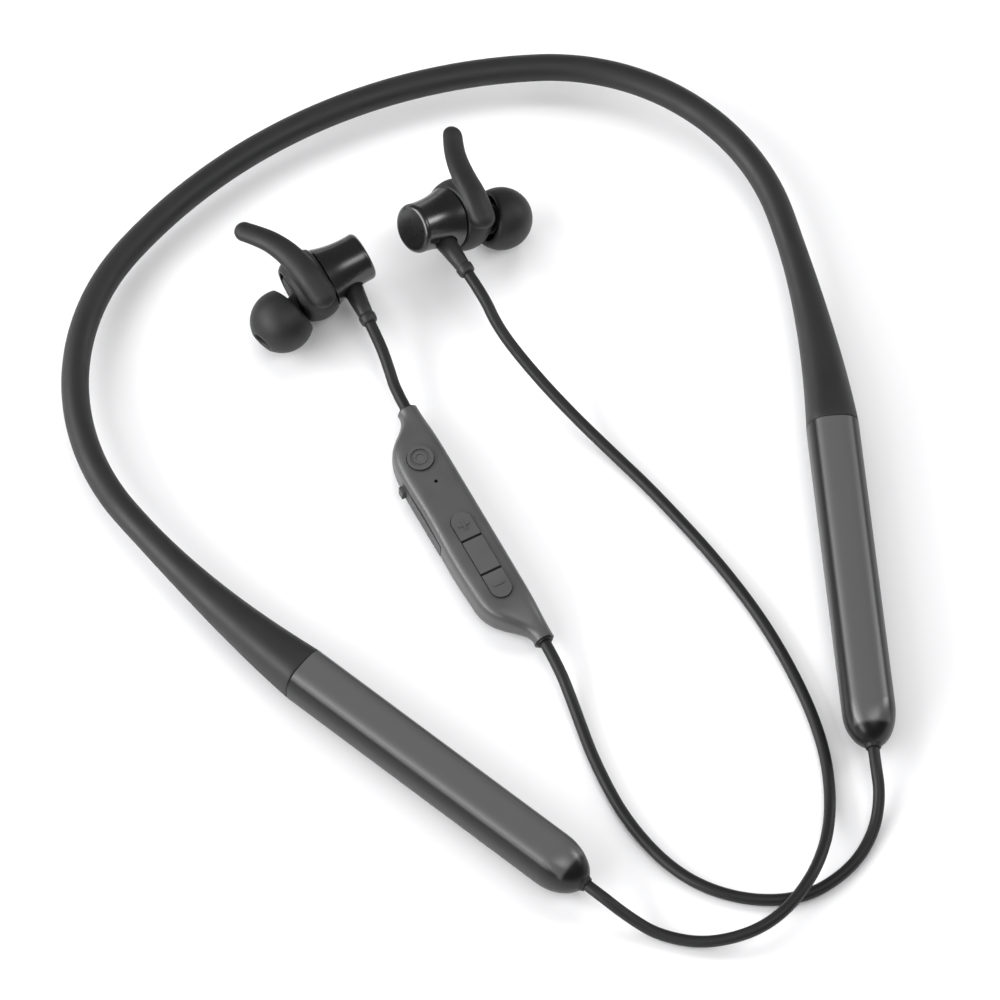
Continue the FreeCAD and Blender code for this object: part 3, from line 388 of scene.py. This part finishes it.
camera = bpy.data.objects.new("camera", bpy.data.cameras.new("camera"))
bpy.context.scene.collection.objects.link(camera)
camera.data.sensor_width = 36.0
camera.data.lens = 36.0 * DISTANCE / SEEN_WIDTH
camera.data.clip_start, camera.data.clip_end = 0.05, 20.0
camera.location = TARGET + BACK * DISTANCE
camera.rotation_mode = "QUATERNION"
camera.rotation_quaternion = (-BACK).to_track_quat("-Z", "Y") @ Quaternion((0, 0, 1), ROLL)
bpy.context.scene.camera = camera


# --- cords ---------------------------------------------------------------------------------------

REMOTE_TOP = Vector((-12.7, 18.7, 3.35))
REMOTE_LOW = Vector((-12.7, -35.5, 3.35))
ALONG_Y = Vector((0, 1, 0))

ROUTE_LEFT_POD = [
    pod_point(-1, GLAND_START), pod_point(-1, GLAND_END),
    (-25.8, -91.2, 3.0), (-21.9, -97.0, LIE), (-14.4, -103.1, LIE + 0.6), (-3.4, -105.9, OVER),
    (8.6, -100.4, OVER), (17.9, -90.0, LIE + 0.3), (24.0, -75.4, LIE), (26.0, -55.5, LIE),
    (24.7, -37.0, LIE), (20.7, -16.5, LIE), (17.7, -6.0, 1.5), (14.4, 4.8, 2.9), (11.5, 15.0, 5.3),
    (9.5, 24.5, 8.0), relief_exit("right", 1, RELIEF_END + 4.6), relief_exit("right", 1, RELIEF_END - 4.5),
]
ROUTE_RIGHT_POD = [
    pod_point(1, GLAND_START), pod_point(1, GLAND_END),
    (26.9, -91.5, 2.8), (22.4, -97.2, LIE), (15.0, -101.5, LIE), (4.7, -102.6, LIE),
    (-5.5, -97.5, LIE), (-13.0, -88.3, LIE), (-16.3, -75.0, LIE), (-15.8, -61.0, LIE),
    (-13.7, -49.0, LIE + 0.3), REMOTE_LOW - ALONG_Y * 5.2, REMOTE_LOW + ALONG_Y * 4.0,
]
ROUTE_LEFT_BUD = [
    REMOTE_TOP - ALONG_Y * 5.2, REMOTE_TOP + ALONG_Y * 4.2, (-11.7, 28.2, 4.7),
    relief_exit("left", -1, RELIEF_END + 3.4), relief_exit("left", -1, RELIEF_ROOT + 0.4),
]


def cord_tube(name, route, node):
    """A cable along its route's smooth line; the CAD node it replaces is hidden."""
    path = spline_points(route)
    rings = sweep_rings(path, lambda i: circle(CABLE_RADIUS))
    vertices, faces = skin_rings(rings, cap_start=True, cap_end=True)
    tube = paint(mesh_object(name, vertices, faces), JACKET)
    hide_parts(node)
    return tube


# Each pod's cable starts along its pod at the gland and runs its loop on the floor. It is baked in place as
# a fixed mesh; the point where it would let go of its pod is worked out but not used.
LET_GO = 68.0       # along a pod, from its seam, in mm
for name, route, node, length, body, side, reach in (
        ("cable_to_right_bud", ROUTE_LEFT_POD, "cable_left_pod", 0.2025, "left_pod", -1, 56.0),
        ("cable_to_remote", ROUTE_RIGHT_POD, "cable_right_pod", 0.1189, "right_pod", 1, 42.0)):
    start = pod_point(side, LET_GO)
    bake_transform(cord_tube(name, route, node))
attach(cord_tube("cable_to_left_bud", ROUTE_LEFT_BUD, "cable_left_bud"), ROOT)


# --- neckband ------------------------------------------------------------------------------------

def superellipse(half_width, half_height, power, segments=64):
    """(across, upward) points of the pod's kind of section."""
    points = []
    for i in range(segments):
        angle = 2 * math.pi * i / segments
        across, upward = math.cos(angle), math.sin(angle)
        points.append((half_width * math.copysign(abs(across) ** (2 / power), across),
                       half_height * math.copysign(abs(upward) ** (2 / power), upward)))
    return points


def sleeve_section(distance, inset=0.0):
    """The sleeve's section: round, then growing to the pod's in the last stretch."""
    share = max(0.0, (distance - (SLEEVE_END - FLARE)) / FLARE)
    grown = share ** 1.55 * (1.0 + 0.3 * share * (1 - share))
    return superellipse(BAND_RADIUS + (POD_HALF_WIDTH - BAND_RADIUS) * grown - inset,
                        BAND_RADIUS + (POD_HALF_HEIGHT - BAND_RADIUS) * grown - inset,
                        2 + (POD_POWER - 2) * grown)


def bend_with_pod(obj, node):
    """A half of the neckband, which follows the band at the back and reaches its pod at the end: hides the
    CAD node it replaces and bakes it in place, fixed to no pod.
    """
    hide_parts(node)
    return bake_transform(obj)


LIP = 0.35          # rounding of the sleeve's end, in mm
STEPS = 110         # rings along each half of the band
for side, name in ((-1, "left"), (1, "right")):
    stations = [((SLEEVE_END - LIP) * i / STEPS, 0.0) for i in range(STEPS + 1)]
    stations += [(SLEEVE_END - LIP * (1 - math.sin(a)), LIP * (1 - math.cos(a)))
                 for a in (math.radians(d) for d in (30, 60, 90))]
    centres = [neck(s, side)[0] for s, _ in stations]
    vertices, faces = skin_rings(sweep_rings(centres, lambda i: sleeve_section(*stations[i])), cap_end=True)
    bend_with_pod(paint(mesh_object(f"sleeve_{name}", vertices, faces), BAND),
                  "band_sleeve")
    for label, node, radius, rise, reach, made, slot in (
            ("spring_wire", "memory_wire", 0.5, 0.9, 7.0, STEEL, "steel"),
            ("wiring", "band_harness", 0.65, -0.9, 4.0, WIRES, "harness_jacket")):
        centres = [neck((SLEEVE_END + SEAM_GAP) * i / STEPS, side)[0] for i in range(STEPS + 1)]
        centres.append(pod_point(side, reach))
        centres = [c + Vector((0, 0, rise)) for c in centres]
        vertices, faces = skin_rings(sweep_rings(centres, lambda i: circle(radius, 12)), cap_end=True)
        bend_with_pod(paint(mesh_object(f"{label}_{name}", vertices, faces), made), node)


# --- earbuds' soft parts ---------------------------------------------------------------------------

def ear_wing(name, hand):
    """The silicone ring with its horn, grown together and smoothed."""
    outside = arc_between((WING_START, WING_REAR), (WING_END, WING_FRONT), WING_BULGE)
    ring = [(WING_START, WING_BORE)] + outside + [(WING_END, 4.65), (14.1, WING_BORE)]
    wing = lathe(f"{name}_wing", ring, None, 96)
    path = spline_points([(x, hand * y, z) for x, y, z in HORN])
    broad, narrow = HORN_HALF_WIDTHS
    taper = [broad - (broad - narrow) * (i / (len(path) - 1)) ** 1.5 for i in range(len(path))]
    rings = sweep_rings(path, lambda i: circle(taper[i], 32, HORN_FLATNESS))
    vertices, faces = skin_rings(rings, cap_start=True, cap_end=True)
    rod = mesh_object(f"{name}_horn", vertices, faces)
    work = bmesh.new()
    work.from_mesh(wing.data)
    work.from_mesh(rod.data)
    for end in (0, -1):
        ball = bmesh.ops.create_uvsphere(work, u_segments=32, v_segments=20, radius=taper[end] * MM)
        bmesh.ops.scale(work, verts=ball["verts"], vec=(1, 1, HORN_FLATNESS))
        bmesh.ops.translate(work, verts=ball["verts"], vec=path[end] * MM)
    work.to_mesh(wing.data)
    work.free()
    bpy.data.objects.remove(rod)
    remesh = wing.modifiers.new("grow", "REMESH")
    remesh.mode, remesh.voxel_size = "VOXEL", GROWN_VOXEL * MM
    smooth = wing.modifiers.new("smooth", "SMOOTH")
    smooth.factor, smooth.iterations = 0.5, 10
    apply_modifiers(wing)
    wing.data.transform(BUDS[name])
    return wing


def eartip(name, hand):
    """The silicone tip: a dome over a hollow skirt round the nozzle's stem."""
    place = (BUDS[name] @ Matrix.Translation(Vector((NOZZLE_ROOT, -hand * NOZZLE_OFFSET, 0)) * MM)
             @ Matrix.Rotation(math.radians(-hand * NOZZLE_TILT), 4, "Z"))
    rear, front = TIP_CENTRE - TIP_REACH_REAR, TIP_CENTRE + TIP_REACH_FRONT
    dome = arc_between((rear, math.sqrt(TIP_RADIUS ** 2 - TIP_REACH_REAR ** 2)),
                       (front, math.sqrt(TIP_RADIUS ** 2 - TIP_REACH_FRONT ** 2)), TIP_RADIUS, 24)
    profile = [(4.34, 4.5), (4.33, 4.9)] + dome + [
        (12.84, 2.55), (12.86, 2.25), (12.7, 2.0), (12.3, 1.9), (10.75, 1.9), (10.7, 2.25), (4.95, 2.25),
        (4.95, 2.9), (5.15, 3.0), (9.0, 3.0), (9.4, 3.3), (9.5, 3.8), (9.2, 4.2), (4.8, 4.35), (4.45, 4.38)]
    return lathe(f"{name}_tip", profile, place, 72)


def strain_relief(name, hand):
    """The rubber sleeve with a grooved collar at its end."""
    profile = [(RELIEF_ROOT, 1.15), (RELIEF_ROOT, 2.1), (9.9, 1.48), (10.2, 1.45), (10.4, 1.48),
               (10.55, 1.62), (10.75, 1.66), (11.6, 1.62), (11.95, 1.55), (12.18, 1.4), (RELIEF_END, 1.15)]
    return lathe(f"{name}_relief", profile, relief_frame(name, hand), 40)


for name, hand in (("left", -1), ("right", 1)):
    for piece, body, node, made, slot in (
            (ear_wing(name, hand), f"{name}_wing", f"{name}_ear_wing", SOFT, "soft_silicone"),
            (eartip(name, hand), f"{name}_tip", f"{name}_eartip", SOFT, "soft_silicone"),
            (strain_relief(name, hand), ROOT, f"{name}_strain_relief", RELIEF, "relief_rubber")):
        paint(piece, made)
        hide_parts(node)
        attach(piece, body)


# --- CAD nodes that stay, with a detailed finish ---------------------------------------------------

KEPT = {
    POD_LEFT: ["left_pod_shell"], POD_RIGHT: ["right_pod_shell"],
    JACKET: ["left_cable_gland", "right_cable_gland", "remote_upper_grommet", "remote_lower_grommet"],
    REMOTE_SHELL: ["remote_top_shell", "remote_bottom_shell"],
    KEY: ["round_key", "volume_up_key", "play_key", "volume_down_key"],
    FLAP: ["port_flap"],
    GLOSS: ["left_rear_housing", "right_rear_housing"],
    BUD_SATIN: ["left_front_housing", "right_front_housing"],
    CARRIER: ["left_pod_carrier", "right_pod_carrier"],
    STEEL: ["left_wire_ferrule", "right_wire_ferrule", "charging_socket", "mic_capsule", "vibration_motor",
            "left_nozzle_mesh", "right_nozzle_mesh", "left_driver_frame", "right_driver_frame"],
    NICKEL: ["left_rear_magnet", "right_rear_magnet", "left_driver_magnet", "right_driver_magnet"],
    BOARD: ["main_board", "remote_board"], CHIP: ["main_board_chips", "tact_switches"],
    FOIL: ["battery_cell"], FOAM: ["battery_foam"], FILM: ["left_diaphragm", "right_diaphragm"],
}
for made, names in KEPT.items():
    for name in names:
        paint(NODES[name], made)


# --- floor and light -------------------------------------------------------------------------------

floor = mesh_object("floor", [(-3000, -3000, -0.02), (3000, -3000, -0.02), (3000, 3000, -0.02),
                              (-3000, 3000, -0.02)], [(0, 1, 2, 3)])
paint(floor, finish("floor_paper", (0.86, 0.86, 0.87), 0.8, grain=0.5, depth=0.01, patches=120.0, vary=0.01))


def area_light(name, place, aim, width, depth, power):
    """A soft box at a place in metres, facing a point."""
    light = bpy.data.objects.new(name, bpy.data.lights.new(name, "AREA"))
    light.data.shape, light.data.size, light.data.size_y = "RECTANGLE", width, depth
    light.data.energy = power
    light.location = place
    light.rotation_mode = "QUATERNION"
    light.rotation_quaternion = (Vector(aim) - Vector(place)).to_track_quat("-Z", "Y")
    bpy.context.scene.collection.objects.link(light)
    return light


key = area_light("key", (0.50, 1.05, 1.25), (0, 0, 0), 2.0, 1.2, 25.0)
key.visible_glossy = False          # it shapes and shades, and the others make the highlights
area_light("strip", (-0.95, 0.15, 0.48), (0, 0, 0), 1.7, 0.30, 15.0)
area_light("left_box", (-0.80, 0.25, 0.86), (0, 0, 0), 1.6, 0.50, 5.2)
area_light("front_box", (0.14, -0.42, 1.08), (0, 0, 0), 0.65, 0.40, 3.4)
area_light("right_strip", (0.87, -0.12, 0.45), (0, 0, 0), 0.22, 0.45, 2.6)

world = bpy.data.worlds.new("studio")
world.use_nodes = True
world.node_tree.nodes["Background"].inputs["Color"].default_value = (1.0, 1.0, 1.0, 1)
world.node_tree.nodes["Background"].inputs["Strength"].default_value = 0.13
bpy.context.scene.world = world
bpy.context.scene.view_settings.view_transform = "Standard"
